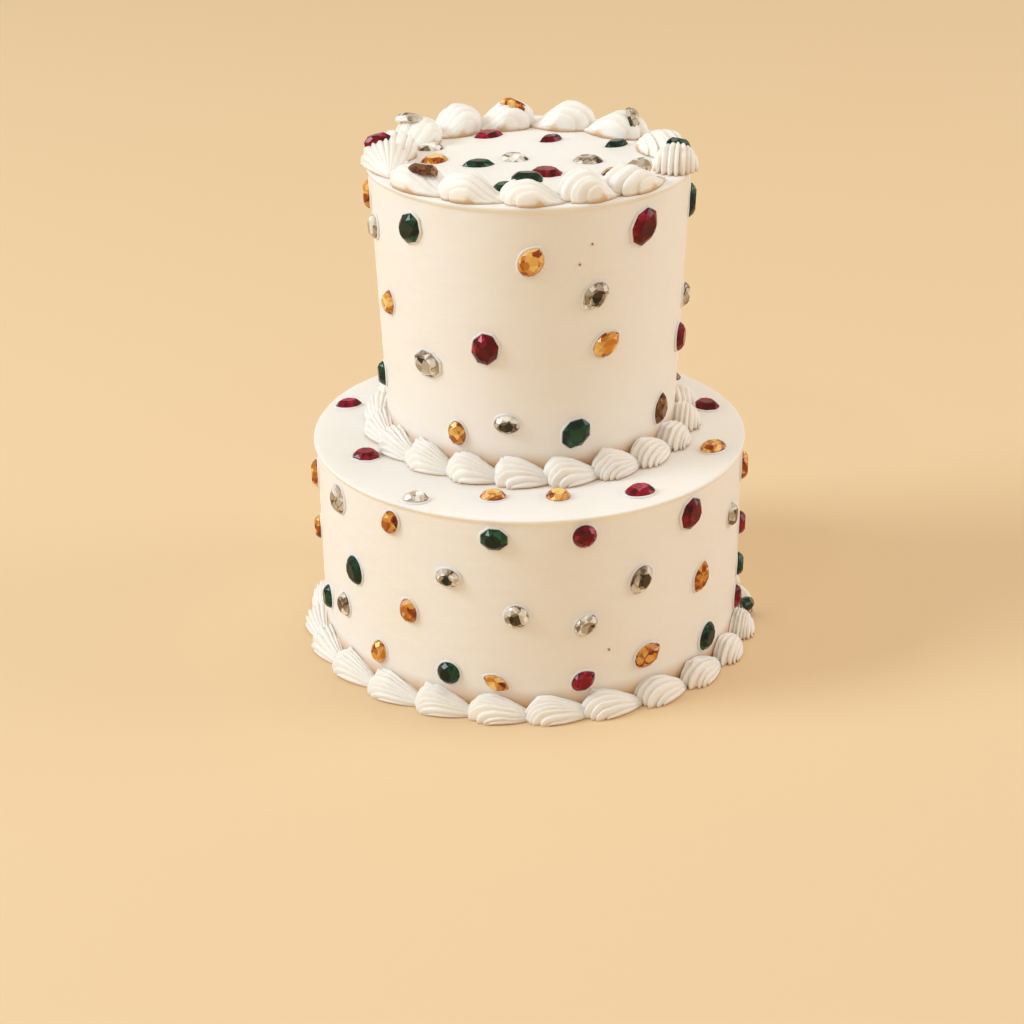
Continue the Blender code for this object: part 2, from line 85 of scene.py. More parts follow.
# Points along each part of a tier's outline, and how near the axis its two ends come
TOP_STEPS = 26
ROUND_STEPS = 6
LIP_STEPS = 9
WALL_STEPS = 70
UNDER_STEPS = 6
TOP_END = 0.04
UNDER_END = 0.05

# How far the spatula leaves the icing from true, how long those swells are, and the height up to
# which the icing evens out again at its foot
SWELL_DEPTH = 0.4 * MM
SWELL_LENGTH = 70 * MM
DRAG_DEPTH = 0.14 * MM
DRAG_LENGTH = 16 * MM
DRAG_FLATNESS = 3
EVEN_FOOT = 2 * MM

# How high the painted tan shade of the gap behind the piping reaches up a wall, and how fast it deepens
FOOT_SHADE = 13.5 * MM
FOOT_SHADE_GAIN = 1.5

# Star-tip shells round the foot of each tier: how many, where, and how big
Border = namedtuple("Border", "count first radius length width height seed")
BASE_SHELLS = Border(24, -7.2, 101.2 * MM, 33 * MM, 17.5 * MM, 11.8 * MM, 21)
MIDDLE_SHELLS = Border(20, -20, 71.8 * MM, 29 * MM, 18 * MM, 11.8 * MM, 22)
FEWEST_RIDGES = 10
MOST_RIDGES = 13
SHELL_GROOVE = 0.14
SHELL_CROWN = 0.72
SHELL_CLIMB = 1.5
SHELL_FULLNESS = 1.0
SHELL_ROWS = 36
CLIMB_ROWS = 22
SHELL_TWIST = 0.08
SHELL_SHARPNESS = 0.4
COLUMNS_A_RIDGE = 7

# Ridges: how much their widths vary, how blunt their arches are, and how far from the tail, as a
# share of the length, a shell's grooves reach their full depth
RIDGE_UNEVEN = 0.35
ARCH_BLUNTNESS = 0.65
GROOVE_FULL = 1 / 1.6

# How far the piping rolls under at its foot, in degrees past upright
HEAD_TUCK = 20
SIDE_TUCK = 14

# Torn nubs where the tip left a head, as a share of the shell's height, and where they are
NUB_HEIGHT = 0.2
NUB_PLACE = 0.68
NUB_LENGTH = 0.04
NUB_LEAN = 0.6

# Uneven ends of the ridges at the head: how long, from where on, and the shortest and the longest
RAGGED_HEAD = 0.4
RAGGED_FROM = 0.6
RAGGED_RANGE = (-0.3, 1.0)

# Painted tan shade of the piping, where shade falls: in the grooves, up to a height at its foot, and at
# the points it closes on
SHELL_PAINTED_SHADE = 0.3
SHELL_PAINTED_SHADE_FULL = 1 / 1.5
SHELL_FOOT_PAINTED_SHADE = 2 * MM
SHELL_CREST_UNSHADED = 0.6
SWIRL_PAINTED_SHADE = 0.4
SWIRL_FOOT_PAINTED_SHADE = 1.5 * MM
SWIRL_FOOT_SHARE = 0.9
END_PAINTED_SHADE = 0.5

# Larger swirled shells on the top face, spaced along an oval: angle, then height and how far
# out of the oval in millimetres. A fanned one is a scallop like those at the foot.
RimShell = namedtuple("RimShell", "angle height out ridges groove fanned")
RIM_SHELLS = (
    RimShell(3, 10.5, 0, 5, 0.29, False),
    RimShell(26, 13.5, 0, 6, 0.31, False),
    RimShell(49, 11.5, 0, 5, 0.29, False),
    RimShell(84, 13.5, 4.5, 9, 0.2, True),
    RimShell(108, 11, 0, 6, 0.26, False),
    RimShell(142, 11.5, 0, 4, 0.2, False),
    RimShell(167, 13, 0, 5, 0.26, False),
    RimShell(193, 13, 0, 6, 0.26, False),
    RimShell(216, 13.5, 0, 5, 0.26, False),
    RimShell(239, 12, 0, 5, 0.22, False),
    RimShell(262, 12, 0, 6, 0.24, False),
    RimShell(278, 13.5, 3.5, 9, 0.2, True),
    RimShell(312, 10, 0, 5, 0.12, False),
    RimShell(338, 11.5, 0, 5, 0.27, False),
)
RIM_OVAL = (62.5 * MM, 60.5 * MM)
RIM_OVAL_BACK = -4 * MM
SWIRL_WIDTH = 21 * MM

# Shape of a swirl: the crest's place as a share of its length from the head, each side eye's place
# as shares of length and height, and how full, how narrow in the tail and how sagging it is
SWIRL_CREST = 0.36
SWIRL_EYE = (0.5, 0.28)
SWIRL_FULLNESS = 0.75
SWIRL_NARROWING = 0.5
SWIRL_SAG = 0.85
SWIRL_OVERLAP = 1.28
SWIRL_RISE = 0.94
SWIRL_ROWS = 44
SWIRL_SEED = 23

# Ridges of a swirl: how much of them is a finer set, how much they calm down towards the tail, and
# the crest at which a swirl keeps its size
FINE_RIDGES = 0.25
TAIL_CALM = 0.5
TAIL_POWER = 1.5
LEVEL_CREST = 0.7

# How much hand piping varies: degrees, a share of each size, and dents and tears in its skin
UNEVEN_ANGLE = 0.6
UNEVEN_SIZE = 0.035
DENT_DEPTH = 0.4 * MM
DENT_LENGTH = 9 * MM
TEAR_DEPTH = 0.22 * MM
TEAR_LENGTH = 3 * MM
TEAR_SEED = 500
EVEN_PIPED_FOOT = 3 * MM

# Stones: width and length of each cut in millimetres
CUT_SIZES = {
    "oval": (10.5, 14),
    "pear": (11, 14.5),
    "octagon": (12, 14.5),
    "marquise": (8.5, 15),
    "round": (11, 11),
}
SCALES = {"big": 1.16, "large": 1.0, "small": 0.84}
POINT_SHARPNESS = 1.7
OCTAGON_CORNER = 0.72

# A stone in section: share of its outline and height in millimetres at each ring of corners
STONE_FOOT = (1.0, -0.8)
STONE_GIRDLE = (1.0, 1.1)
STONE_BREAK = (0.82, 2.5)
STONE_TABLE = (0.6, 3.4)
TABLE_CORNERS = 8
STONE_SEED = 24

# The rolled edge of icing that a pressed stone pushes up
COLLAR_WIDTH = 0.75 * MM
COLLAR_HEIGHT = 0.6 * MM
COLLAR_SIDES = 8
COLLAR_STEPS = 32
COLLAR_UNEVEN = 0.3
COLLAR_WAVE = 9 * MM
COLLAR_SEED = 300

# Stones on a wall: angle, height above the tier's foot in millimetres, and the turn of the long axis
# from level. Stones on a level face: angle, distance from the tier's middle, and the same turn.
Stone = namedtuple("Stone", "cut scale colour angle reach turn")
TOP_WALL = [
    Stone("oval", "large", "amber", -86, 116, 90),
    Stone("oval", "small", "clear", -75, 105, 80),
    Stone("octagon", "large", "emerald", -47, 115, 60),
    Stone("pear", "large", "amber", 0, 107, 60),
    Stone("octagon", "big", "ruby", 43, 116, 60),
    Stone("oval", "big", "emerald", 85, 112, 90),
    Stone("pear", "large", "clear", 23, 88, 225),
    Stone("pear", "small", "amber", -64, 73, 80),
    Stone("oval", "small", "clear", 85, 66, 90),
    Stone("octagon", "large", "ruby", -17, 64, 80),
    Stone("pear", "large", "amber", 28, 64, 35),
    Stone("oval", "large", "ruby", 76, 49, 95),
    Stone("octagon", "large", "clear", -42, 51, 0),
    Stone("oval", "small", "emerald", -80, 30, 90),
    Stone("oval", "small", "clear", -9.5, 27.5, 0),
    Stone("octagon", "large", "emerald", 16.5, 22, 50),
    Stone("oval", "small", "amber", -29.5, 20, 95),
    Stone("marquise", "large", "smoky", 58.5, 21, 75),
]
BOTTOM_WALL = [
    Stone("oval", "large", "amber", -85, 82, 90),
    Stone("oval", "large", "clear", -61, 87, 95),
    Stone("oval", "small", "amber", -85, 54, 90),
    Stone("oval", "small", "amber", -39, 89, 70),
    Stone("octagon", "small", "emerald", -9.5, 90, 0),
    Stone("round", "large", "ruby", 13.5, 90.5, 0),
    Stone("octagon", "large", "ruby", 46, 88, 65),
    Stone("oval", "small", "clear", 68, 72, 80),
    Stone("oval", "large", "amber", 84, 85, 90),
    Stone("oval", "small", "ruby", 84, 55, 90),
    Stone("oval", "large", "emerald", -54, 55.5, 108),
    Stone("oval", "small", "emerald", -73, 27, 90),
    Stone("oval", "small", "clear", -60.5, 33, 100),
    Stone("oval", "small", "clear", -22, 68, 0),
    Stone("oval", "large", "clear", 29.5, 63.5, 60),
    Stone("marquise", "large", "amber", 51, 52.5, 65),
    Stone("oval", "small", "emerald", 84, 33, 90),
    Stone("oval", "small", "amber", -34, 46.5, 100),
    Stone("round", "large", "clear", -4, 51.5, 0),
    Stone("oval", "small", "clear", 14, 45.5, 40),
    Stone("oval", "small", "ruby", 80, 19, 90),
    Stone("oval", "small", "amber", -45, 19, 80),
    Stone("round", "large", "emerald", -22.5, 19, 60),
    Stone("marquise", "small", "amber", -9.5, 17, -25),
    Stone("pear", "small", "ruby", 13.5, 17, 35),
    Stone("pear", "large", "amber", 32, 23.5, 30),
    Stone("oval", "large", "emerald", 55, 18.5, 65),
]
LEDGE = [
    Stone("marquise", "small", "ruby", -109, 92, 15),
    Stone("octagon", "small", "ruby", -68, 82, 0),
    Stone("oval", "small", "clear", -33.5, 94, 0),
    Stone("oval", "small", "amber", -12.5, 79, 5),
    Stone("round", "large", "amber", 9, 78.5, 0),
    Stone("oval", "large", "ruby", 34, 88, 22),
    Stone("oval", "large", "amber", 73.5, 89, 45),
    Stone("octagon", "small", "ruby", 106, 89, -30),
    Stone("oval", "small", "smoky", 131, 92, 0),
    Stone("oval", "small", "clear", 228, 92, 40),
]
TOP_FACE = [
    Stone("oval", "large", "clear", -112, 50, 0),
    Stone("oval", "large", "amber", -88, 43.5, 41),
    Stone("marquise", "large", "ruby", -154, 43, 24),
    Stone("marquise", "large", "emerald", -69, 25, 10),
    Stone("oval", "large", "clear", -91, 7.5, 0),
    Stone("marquise", "small", "ruby", 161.5, 32.5, 34),
    Stone("oval", "large", "clear", 81, 27, -5),
    Stone("octagon", "large", "ruby", 17.5, 24, -10),
    Stone("octagon", "small", "emerald", -14, 47, 30),
    Stone("marquise", "small", "emerald", 118, 46, 30),
    Stone("oval", "small", "smoky", 57, 45, 20),
]

# Stones pressed into the piping: place in millimetres from the tier's middle and above the face it
# stands on, how far it leans from upright and towards which angle, and its turn
ShellStone = namedtuple("ShellStone", "cut scale colour east north rise lean towards turn")
RIM_STONES = [
    ShellStone("marquise", "small", "ruby", -69, -5, 11.3, 14, 255, 12),
    ShellStone("oval", "large", "clear", -55.5, 31.5, 10.6, 26, 165, -12),
    ShellStone("oval", "large", "smoky", -47.5, -43.5, 8.5, 14, 150, -20),
    ShellStone("oval", "large", "emerald", -1.5, -59, 9, 8, 170, 4),
    ShellStone("oval", "large", "clear", 48.2, 36.5, 9.2, 68, 85, 95),
    ShellStone("oval", "large", "amber", -7, 55.5, 10.2, 30, 128, 3),
    ShellStone("marquise", "small", "emerald", 67.5, -8.5, 9, 20, 150, 25),
    ShellStone("oval", "large", "clear", 47.6, -44, 8.8, 28, -30, 30),
]
BASE_STONES = [
    ShellStone("marquise", "small", "emerald", 105.4, 0, 5.6, 55, 88, 70),
]

# Colours of the far side, which repeats the near side's layout half a turn on
FAR_COLOURS = {
    "emerald": "ruby",
    "ruby": "amber",
    "amber": "emerald",
    "clear": "clear",
    "smoky": "amber",
}
NEAR_SIDE = 70

# Crumbs that show through the icing: angle and height on each wall, in degrees and millimetres
TOP_CRUMBS = ((17, 104), (21.5, 113), (196, 97), (238, 61))
BOTTOM_CRUMBS = ((20.5, 31), (151, 38), (212, 64))
CRUMB_SIZE = 0.48 * MM
CRUMB_UNEVEN = (0.6, 1.2)
CRUMB_SEED = 25

# Colours of the icing, the crumbs and the floor as they look on a screen
IVORY = (249, 244, 240)
CREAM = (246, 239, 229)
PIPED_IVORY = (253, 247, 236)
# Painted shade: the tan blended into the icing where shade falls, in the grooves and gaps of the piping
# and at the foot of the walls
PAINTED_SHADE_TAN = (210, 160, 98)
CRUMB_BROWN = (150, 96, 48)
CRUMB_TAN = (196, 150, 92)
FLOOR_BEIGE = (235, 204, 161)
FLOOR_PALE = (234, 205, 164)

# Each stone colour from its darkest facet to its brightest, partly the stones' own colour and partly
# painted reflections and glints; in the clear stones the dark and the near-white facets are painted
# reflections and glints
STONE_COLOURS = {
    "emerald": ((0.0, (10, 20, 16)), (0.4, (18, 44, 30)), (0.75, (30, 76, 46)), (1.0, (70, 120, 80))),
    "ruby": ((0.0, (60, 2, 8)), (0.4, (100, 3, 12)), (0.7, (150, 12, 34)), (1.0, (204, 44, 104))),
    "amber": ((0.0, (78, 18, 14)), (0.3, (150, 62, 16)), (0.6, (214, 142, 50)), (1.0, (250, 210, 130))),
    "clear": ((0.0, (22, 34, 26)), (0.25, (84, 62, 42)), (0.5, (176, 156, 130)), (1.0, (252, 248, 240))),
    "smoky": ((0.0, (76, 16, 16)), (0.35, (112, 72, 44)), (0.7, (150, 106, 70)), (1.0, (224, 190, 140))),
}

# How much of a tone its facet gives, and how much the facets seen through the stone give
TONE_SHARES = {
    "emerald": (0.6, 0.5),
    "ruby": (0.6, 0.45),
    "amber": (0.7, 0.65),
    "clear": (0.6, 0.65),
    "smoky": (0.6, 0.6),
}

# Tone of a facet between those: lowest and highest of the table, then of the facets round it
FACET_TONES = {
    "emerald": (0.0, 0.55, 0.1, 0.9),
    "ruby": (0.1, 0.75, 0.1, 0.85),
    "amber": (0.1, 0.95, 0.2, 0.85),
    "clear": (0.0, 0.35, 0.35, 1.0),
    "smoky": (0.3, 0.8, 0.0, 0.8),
}

# Painted light: how much brighter a table is that faces up, for the light from above that its foil throws
# back
SKYWARD_PAINTED_LIGHT = 0.65

# How deep the stones of the top face and its rim are pressed in
TOP_PRESS = 0.9 * MM

# Lights: place, size, power and screen colour
Lamp = namedtuple("Lamp", "name place size power colour")
LAMPS = (
    Lamp("key_light", (-2.58, -0.46, 1.95), 1.4, 59, (224, 241, 255)),
    Lamp("fill_light", (2.6, 0.1, 1.2), 1.6, 20, (244, 246, 255)),
    Lamp("top_light", (0.3, 0.3, 2.4), 0.8, 7, (255, 248, 236)),
    Lamp("sparkle_light", (-0.9, -1.5, 1.9), 0.16, 1.6, (255, 255, 255)),
)
LIGHT_TARGET = Vector((0, 0, 0.12))
ROOM_COLOUR = (255, 245, 228)
ROOM_STRENGTH = 0.62
FLOOR_REACH = 14


# Grids and meshes


def grid_faces(rows, columns, ring=False):
    """The four corners of each face between a grid's neighbouring points, closed round if it is a ring."""
    row = np.arange(rows - 1)[:, None]
    column = np.arange(columns if ring else columns - 1)[None, :]
    after = (column + 1) % columns
    near, far = row * columns, (row + 1) * columns
    corners = np.broadcast_arrays(near + column, near + after, far + after, far + column)
    return np.stack(corners, axis=-1).reshape(-1, 4)


def fan_faces(corner, ring):
    """Triangles from one corner to each side of a closed ring."""
    ring = np.asarray(ring)
    return np.stack([np.full(len(ring), corner), ring, np.roll(ring, -1)], axis=-1)


class Surfaces:
    """Points, faces and surface values of the closed surfaces that make up one piece."""

    def __init__(self):
        self.points = []
        self.faces = []
        self.values = {}
        self.total = 0

    def add(self, points, faces, **values):
        """Adds one surface. Its values are one number for each point, or for each face."""
        points = points.reshape(-1, 3)
        for part in faces:
            self.faces.extend((np.asarray(part) + self.total).tolist())
        self.points.append(points)
        self.total += len(points)
        for name, numbers in values.items():
            self.values.setdefault(name, []).append(np.asarray(numbers, float).ravel())

    def piece(self, name, finish, nodes, smooth=True):
        """Makes the piece: it rides on the cake and stands for the named nodes."""
        mesh = bpy.data.meshes.new(name)
        mesh.from_pydata(np.concatenate(self.points).tolist(), [], self.faces)
        for label, parts in self.values.items():
            numbers = np.concatenate(parts)
            domain = "POINT" if len(numbers) == self.total else "FACE"
            mesh.attributes.new(label, "FLOAT", domain).data.foreach_set("value", numbers)
        mesh.polygons.foreach_set("use_smooth", [smooth] * len(mesh.polygons))
        mesh.materials.append(finish)
        item = bpy.data.objects.new(name, mesh)
        bpy.context.scene.collection.objects.link(item)
        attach(item, BODY)
        if nodes:
            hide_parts(*nodes)
        return item


def ripple(points, wavelength, seed, waves=6):
    """A smooth uneven field from -1 to 1: the mean of a few sine waves along seeded directions."""
    chance = np.random.default_rng(seed)
    ways = chance.normal(size=(waves, 3))
    ways /= np.linalg.norm(ways, axis=1, keepdims=True)
    starts = chance.uniform(0, math.tau, waves)
    return np.sin(points @ ways.T * math.tau / wavelength + starts).mean(axis=-1)


def direction(angle):
    """The level unit vector that points away from the axis at an angle round the cake."""
    turn = math.radians(angle)
    return Vector((math.sin(turn), -math.cos(turn), 0))


def tangent(angle):
    turn = math.radians(angle)
    return Vector((math.cos(turn), math.sin(turn), 0))


def moved(points, matrix):
    """Points carried by a matrix."""
    table = np.array(matrix)
    return points @ table[:3, :3].T + table[:3, 3]


def top_tilt():
    """Turns what stands on the top face to the face's slope."""
    middle = Matrix.Translation(TOP_CENTRE + Vector((0, 0, TOP_OF_CAKE)))
    return middle @ Matrix.Rotation(math.atan(TOP_SLOPE), 4, "X") @ middle.inverted()


# Materials


def screen(colour):
    """A screen colour as the light that a shader takes."""
    share = np.array(colour) / 255
    linear = np.where(share <= 0.04045, share / 12.92, ((share + 0.055) / 1.055) ** 2.4)
    return (*linear.tolist(), 1)


class Amount:
    """A number that varies over a surface. Sums and products of it add Math nodes."""

    def __init__(self, finish, socket):
        self.finish = finish
        self.socket = socket

    def combine(self, operation, first, second):
        made = self.finish.node("ShaderNodeMath", {"operation": operation}, {0: first, 1: second})
        return Amount(self.finish, made.outputs[0])

    def __add__(self, other):
        return self.combine("ADD", self, other)

    def __radd__(self, other):
        return self.combine("ADD", other, self)

    def __sub__(self, other):
        return self.combine("SUBTRACT", self, other)

    def __rsub__(self, other):
        return self.combine("SUBTRACT", other, self)

    def __mul__(self, other):
        return self.combine("MULTIPLY", self, other)

    def __rmul__(self, other):
        return self.combine("MULTIPLY", other, self)


class Finish:
    """A material and the nodes that colour it."""

    def __init__(self, name, **constants):
        self.material = bpy.data.materials.new(name)
        self.material.use_nodes = True
        self.shader = self.material.node_tree.nodes["Principled BSDF"]
        for socket, value in constants.items():
            self.shader.inputs[socket.replace("_", " ")].default_value = value

    def put(self, socket, value):
        """Links a socket to a value, or sets its number."""
        if isinstance(value, Amount):
            value = value.socket
        if isinstance(value, bpy.types.NodeSocket):
            self.material.node_tree.links.new(value, socket)
        else:
            socket.default_value = value

    def node(self, kind, settings=(), sockets=()):
        """A node, with its settings made first and then its sockets filled."""
        made = self.material.node_tree.nodes.new(kind)
        for name, value in dict(settings).items():
            if name == "stops":
                self.set_stops(made.color_ramp, value)
            else:
                setattr(made, name, value)
        for name, value in dict(sockets).items():
            self.put(made.inputs[name], value)
        return made

    def set_stops(self, ramp, stops):
        ramp.elements.remove(ramp.elements[-1])
        for place, colour in stops:
            stop = ramp.elements[0] if place == stops[0][0] else ramp.elements.new(place)
            stop.position = place
            stop.color = colour

    def place(self, scale=(1, 1, 1)):
        """The point of the surface, stretched for a pattern."""
        place = self.node("ShaderNodeTexCoord").outputs["Object"]
        return self.node("ShaderNodeMapping", (), {"Vector": place, "Scale": scale}).outputs[0]

    def noise(self, scale, detail=2.0, stretch=(1, 1, 1)):
        made = self.node(
            "ShaderNodeTexNoise", (), {"Vector": self.place(stretch), "Scale": scale, "Detail": detail}
        )
        return Amount(self, made.outputs[0])

    def value_of(self, name):
        """A number that the piece itself carries."""
        return Amount(self, self.node("ShaderNodeAttribute", {"attribute_name": name}).outputs["Fac"])

    def ramp(self, amount, stops):
        return self.node("ShaderNodeValToRGB", {"stops": stops}, {0: amount}).outputs[0]

    def blend(self, share, first, second):
        made = self.node("ShaderNodeMix", {"data_type": "RGBA"}, {0: share, 6: first, 7: second})
        return made.outputs[2]

    def bump(self, height, distance, strength=1.0):
        sockets = {"Height": height, "Distance": distance, "Strength": strength}
        self.put(self.shader.inputs["Normal"], self.node("ShaderNodeBump", (), sockets).outputs[0])


def icing_finish(name, light, dark, roughness, scraped):
    """Buttercream: ivory with faint warmer clouds, a painted tan shade in its grooves and at the foot of
    its walls, and a fine-pored skin.

    On the tiers, thin level streaks from the scraper run round the wall.
    """
    finish = Finish(name, Subsurface_Weight=0.25, Subsurface_Scale=0.006, IOR=1.45)
    finish.shader.inputs["Subsurface Radius"].default_value = (1.0, 0.7, 0.4)
    clouds = finish.noise(22, 3) * 1.6 - 0.3
    base = finish.blend(clouds, screen(light), screen(dark))
    # The groove value says how much painted shade, in tan, goes into the colour
    groove = finish.value_of("groove")
    finish.put(finish.shader.inputs["Base Color"], finish.blend(groove, base, screen(PAINTED_SHADE_TAN)))
    pores = finish.noise(650, 3)
    soft = finish.noise(120, 2)
    streaks = finish.noise(9, 3, (1, 1, 30))
    finish.put(finish.shader.inputs["Roughness"], roughness + soft * 0.14)
    finish.bump(pores * 0.35 + soft * 0.5 + streaks * scraped, 0.5 * MM, 0.5)
    return finish.material


def stone_finish(colour):
    """Cut sugar glass: each facet has its own tone, broken up by the facets seen through it. The tones are
    partly the glass's own colour and partly painted reflections and glints.
    """
    finish = Finish(f"{colour}_glass", Metallic=0.1, Coat_Weight=0.25, Coat_Roughness=0.03, IOR=1.28)
    cells = finish.node(
        "ShaderNodeTexVoronoi", {"feature": "F1"}, {"Vector": finish.place(), "Scale": 280.0}
    ).outputs["Color"]
    shard = Amount(finish, finish.node("ShaderNodeSeparateColor", (), {0: cells}).outputs[0])
    facet_share, shard_share = TONE_SHARES[colour]
    tone = finish.value_of("tone") * facet_share + shard * shard_share - shard_share / 5
    stops = [(place, screen(shade)) for place, shade in STONE_COLOURS[colour]]
    finish.put(finish.shader.inputs["Base Color"], finish.ramp(tone, stops))
    finish.put(finish.shader.inputs["Roughness"], 0.12 + shard * 0.14)
    return finish.material


def crumb_finish():
    """Sponge crumb: brown, dry and grainy."""
    finish = Finish("crumb")
    grain = finish.noise(2200, 3)
    brown = finish.blend(grain, screen(CRUMB_BROWN), screen(CRUMB_TAN))
    finish.put(finish.shader.inputs["Base Color"], brown)
    finish.put(finish.shader.inputs["Roughness"], 0.8 + grain * 0.15)
    finish.bump(grain, 0.2 * MM)
    return finish.material


def floor_finish():
    """A plain pale floor, hardly uneven in tone."""
    finish = Finish("floor_paint", IOR=1.3)
    clouds = finish.noise(3, 2)
    base = finish.blend(clouds, screen(FLOOR_BEIGE), screen(FLOOR_PALE))
    finish.put(finish.shader.inputs["Base Color"], base)
    finish.put(finish.shader.inputs["Roughness"], 0.75 + clouds * 0.1)
    return finish.material


# Tiers


def tier_outline(rim, foot, height):
    """Radius and height of a tier's outline, from near the middle of the top to that of the base.

    A level top, a small quarter round, a lip that falls back to the wall as half a cosine, the wall
    as a straight line to the foot, and a level underside.
    """
    level = np.linspace(TOP_END, 1, TOP_STEPS)[:-1] * (rim - LIP_ROUND)
    turn = np.linspace(0, math.pi / 2, ROUND_STEPS)
    lip = np.linspace(0, 1, LIP_STEPS)[1:]
    fall = np.linspace(0, 1, WALL_STEPS)[1:]
    under = np.linspace(1, UNDER_END, UNDER_STEPS)[1:] * foot
    wall = rim - LIP_PROUD
    radius = np.concatenate(
        [
            level,
            rim - LIP_ROUND + LIP_ROUND * np.sin(turn),
            rim - LIP_PROUD * (1 - np.cos(lip * math.pi)) / 2,
            wall + (foot - wall) * fall,
            under,
        ]
    )
    z = np.concatenate(
        [
            np.full(len(level), height),
            height - LIP_ROUND + LIP_ROUND * np.cos(turn),
            height - LIP_ROUND - (LIP_DEPTH - LIP_ROUND) * lip,
            (height - LIP_DEPTH) * (1 - fall),
            np.zeros(len(under)),
        ]
    )
    return radius, z


def make_tier(name, rim, foot, height, centre, finish, node, slope=0.0, seed=1):
    """A turned tier: the outline swung round the axis, then moved along its own normal by the spatula's
    swells and drags. From half way up, its heights shift more and more, to the slope of its top."""
    radius, z = tier_outline(rim, foot, height)
    out, up = -np.gradient(z), np.gradient(radius)
    size = np.hypot(out, up)
    out, up = (out / size)[:, None], (up / size)[:, None]
    angle = np.linspace(0, math.tau, TIER_COLUMNS, endpoint=False)[None, :]
    ring = np.stack([np.sin(angle), -np.cos(angle)])
    level = radius[:, None] * ring
    points = np.stack([level[0], level[1], z[:, None] + 0 * angle], axis=-1)
    uneven = SWELL_DEPTH * ripple(points, SWELL_LENGTH, seed)
    uneven += DRAG_DEPTH * ripple(points * (1, 1, DRAG_FLATNESS), DRAG_LENGTH, seed + 1)
    uneven *= np.clip(z / EVEN_FOOT, 0, 1)[:, None]
    points[..., 0] += ring[0] * out * uneven
    points[..., 1] += ring[1] * out * uneven
    points[..., 2] += up * uneven
    points[..., 2] += slope * points[..., 1] * np.clip(2 * z / height - 1, 0, 1)[:, None]
    # Painted shade: tan near the foot of the wall for the shadowed gap behind the piping, carried in the
    # groove value
    groove = np.clip(FOOT_SHADE_GAIN * (1 - z / FOOT_SHADE), 0, 1)[:, None] + 0 * angle
    rows = len(radius)
    poles = np.array([points[0].mean(axis=0), points[-1].mean(axis=0)])
    count = rows * TIER_COLUMNS
    first_ring = np.arange(TIER_COLUMNS)
    last_ring = first_ring + count - TIER_COLUMNS
    faces = [
        grid_faces(rows, TIER_COLUMNS, ring=True)[:, ::-1],
        fan_faces(count, first_ring),
        fan_faces(count + 1, last_ring[::-1]),
    ]
    place = np.array(centre)
    body = Surfaces()
    every = np.concatenate([points.reshape(-1, 3), poles]) + place
    body.add(every, faces, groove=np.append(groove.ravel(), [0, 0]))
    return body.piece(name, finish, [node])


# Piped shells


def uneven_ridges(share, ridges, chance):
    """Ridge number at each share of the way across, where the ridges' widths are seeded."""
    widths = chance.uniform(1 - RIDGE_UNEVEN, 1 + RIDGE_UNEVEN, ridges)
    edges = np.concatenate([[0], np.cumsum(widths)])
    return np.interp(share, edges / edges[-1], np.arange(ridges + 1))


def fluting(number, sharpness=0.0):
    """Ridges with sharp grooves between them: a sine's blunted arches, mixed with straight gables."""
    arch = np.abs(np.sin(number * math.pi)) ** ARCH_BLUNTNESS
    gable = 1 - np.abs(2 * (number % 1) - 1)
    return arch * (1 - sharpness) + gable * sharpness


